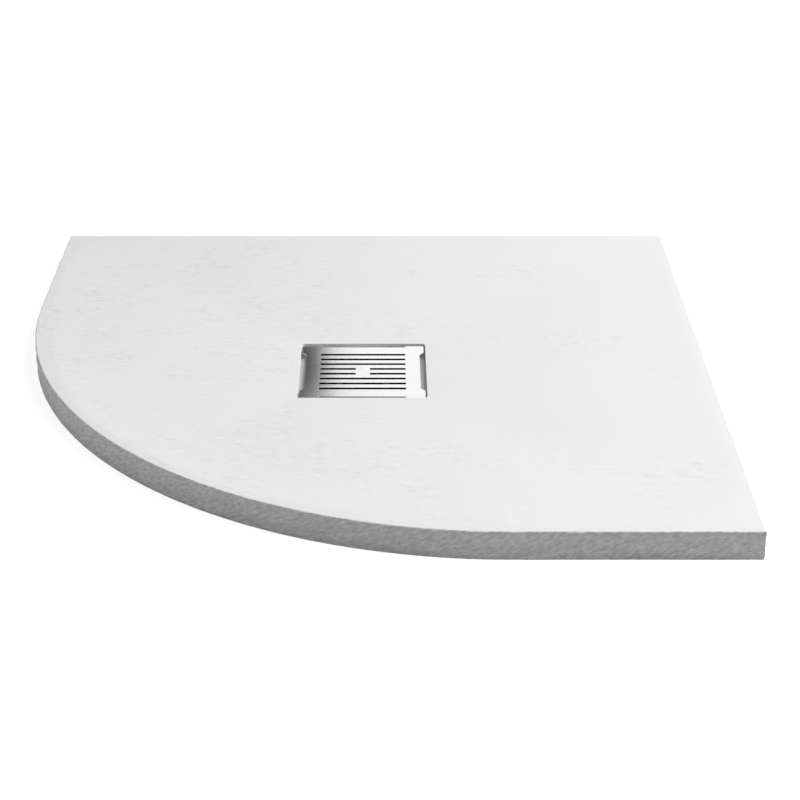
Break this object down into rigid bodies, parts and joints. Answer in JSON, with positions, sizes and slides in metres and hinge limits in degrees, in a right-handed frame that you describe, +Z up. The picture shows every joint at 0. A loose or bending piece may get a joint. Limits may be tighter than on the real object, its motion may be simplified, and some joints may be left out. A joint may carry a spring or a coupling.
{
  "type": "quadrant shower tray",
  "caption": "Low quadrant shower tray of white slate-textured stone resin with a sunk slotted steel grate over a trapped waste.",
  "frame": {"origin": "on the drain's axis, on the plane of the tray's underside, where the waste goes down into the floor", "axes": "+Z up out of the tray, +Y to the straight back edge, +X to the straight right edge; the curved corner is at -X, -Y"},
  "size_m": [0.8, 0.8, 0.124],
  "materials": {
    "stone_resin": "matt, riven slate texture",
    "grate_steel": "fine brushed",
    "shoe_rubber": "matt",
    "strainer_plastic": "matt",
    "flange_plastic": "matt",
    "seal_foam": "matt foam",
    "screw_steel": "bright",
    "trap_plastic": "satin moulded",
    "deck_plastic": "satin moulded",
    "tube_plastic": "satin moulded",
    "seal_rubber": "smooth",
    "nut_plastic": "satin moulded",
    "washer_plastic": "satin"
  },
  "bodies": {
    "tray": {"tray_body": "stone_resin", "waste_flange": "flange_plastic", "flange_gasket": "seal_foam", "clamp_screws": "screw_steel", "trap_cup": "trap_plastic", "trap_outlet": "trap_plastic", "trap_deck": "deck_plastic", "trap_gasket": "seal_rubber", "outlet_cone_seal": "seal_rubber", "outlet_slip_washer": "washer_plastic"},
    "grate": {"grate_plate": "grate_steel", "grate_pads": "shoe_rubber"},
    "strainer": {"hair_strainer": "strainer_plastic"},
    "dip_tube_unit": {"dip_tube": "tube_plastic", "dip_tube_seal": "seal_rubber"},
    "nut": {"outlet_nut": "nut_plastic"}
  },
  "joints": [
    {"name": "grate_lift", "type": "slide", "parent": "tray", "child": "grate", "axis": [0, 0, 1], "range_m": [0, 0.24]},
    {"name": "strainer_lift", "type": "slide", "parent": "tray", "child": "strainer", "axis": [0, 0, 1], "range_m": [0, 0.18]},
    {"name": "dip_tube_lift", "type": "slide", "parent": "tray", "child": "dip_tube_unit", "axis": [0, 0, 1], "range_m": [0, 0.12]},
    {"name": "outlet_nut_turn", "type": "hinge", "parent": "tray", "child": "nut", "pos_m": [0, 0.09, -0.036], "axis": [0, 1, 0], "continuous": true}
  ],
  "couplings": [
    {"joint": "strainer_lift", "follows": "grate_lift", "ratio": 0.75},
    {"joint": "dip_tube_lift", "follows": "grate_lift", "ratio": 0.5}
  ]
}
